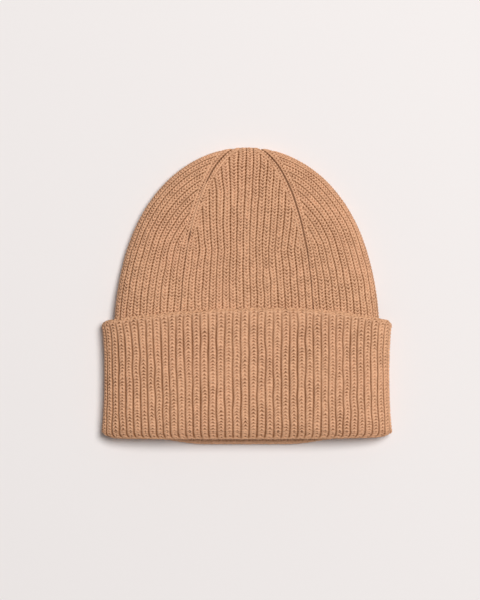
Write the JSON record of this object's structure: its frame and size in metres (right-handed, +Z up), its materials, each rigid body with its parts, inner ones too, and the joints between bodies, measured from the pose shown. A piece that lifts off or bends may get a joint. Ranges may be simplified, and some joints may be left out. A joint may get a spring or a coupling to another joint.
{
  "type": "knitted beanie",
  "caption": "Close-fitting rib-knit winter hat lying flat, with a dart-shaped domed crown and a deep turned-up cuff that slides down over the mouth.",
  "frame": {"origin": "on the table, under the middle of the hat's outline", "axes": "+X across the hat to its right-hand side fold, +Y from the mouth to the apex of the crown, +Z up from the table through the thickness"},
  "size_m": [0.2198, 0.2264, 0.026],
  "materials": {
    "rib_knit": "matt camel wool-blend rib knitting, faintly fuzzy",
    "linking_yarn": "matt yarn, one size finer than the knitting, in the shade of the groove",
    "cast_on_yarn": "matt camel yarn, set closer than the ribs"
  },
  "bodies": {
    "hat": {"front_panel": "rib_knit", "right_panel": "rib_knit", "left_panel": "rib_knit", "back_right_panel": "rib_knit", "back_left_panel": "rib_knit", "front_right_dart_seam": "linking_yarn", "front_left_dart_seam": "linking_yarn", "back_right_dart_seam": "linking_yarn", "back_left_dart_seam": "linking_yarn", "back_seam": "linking_yarn", "crown_closure": "linking_yarn"},
    "cuff": {"cuff_front": "rib_knit", "cuff_right": "rib_knit", "cuff_left": "rib_knit", "cuff_back_right": "rib_knit", "cuff_back_left": "rib_knit", "cuff_back_seam": "linking_yarn", "cuff_edge_front": "cast_on_yarn", "cuff_edge_back": "cast_on_yarn", "mouth_fold_front": "rib_knit", "mouth_fold_back": "rib_knit"}
  },
  "joints": [
    {"name": "cuff_turn_down", "type": "slide", "parent": "hat", "child": "cuff", "axis": [0, -1, 0], "range_m": [0, 0.078]}
  ]
}
